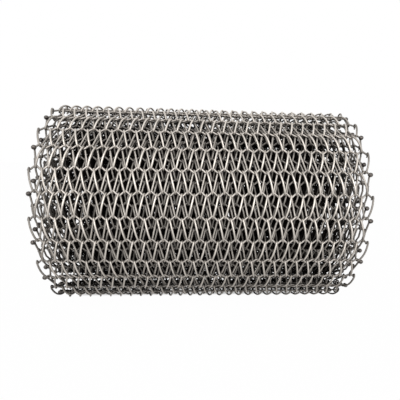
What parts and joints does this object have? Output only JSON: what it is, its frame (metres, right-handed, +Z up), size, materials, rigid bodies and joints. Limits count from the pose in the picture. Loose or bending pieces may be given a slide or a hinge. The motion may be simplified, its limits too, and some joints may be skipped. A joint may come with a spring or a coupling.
{
  "type": "wire mesh conveyor belt",
  "caption": "Rolled-up woven wire conveyor belt of alternating spirals on crimped cross rods with welded edges, lying on its side.",
  "frame": {"origin": "on the floor, under the middle of the roll's box", "axes": "+X along the roll's axis, which is the belt's width; +Z up; -Y is the side that the picture shows"},
  "size_m": [0.36, 0.2436, 0.2477],
  "materials": {
    "belt_wire": "bright drawn stainless wire",
    "rod_wire": "bright drawn stainless wire",
    "weld": "heat-tinted weld"
  },
  "bodies": {
    "root": {"wound_belt": "belt_wire", "cross_rods": "rod_wire", "weld_beads": "weld"}
  },
  "joints": []
}
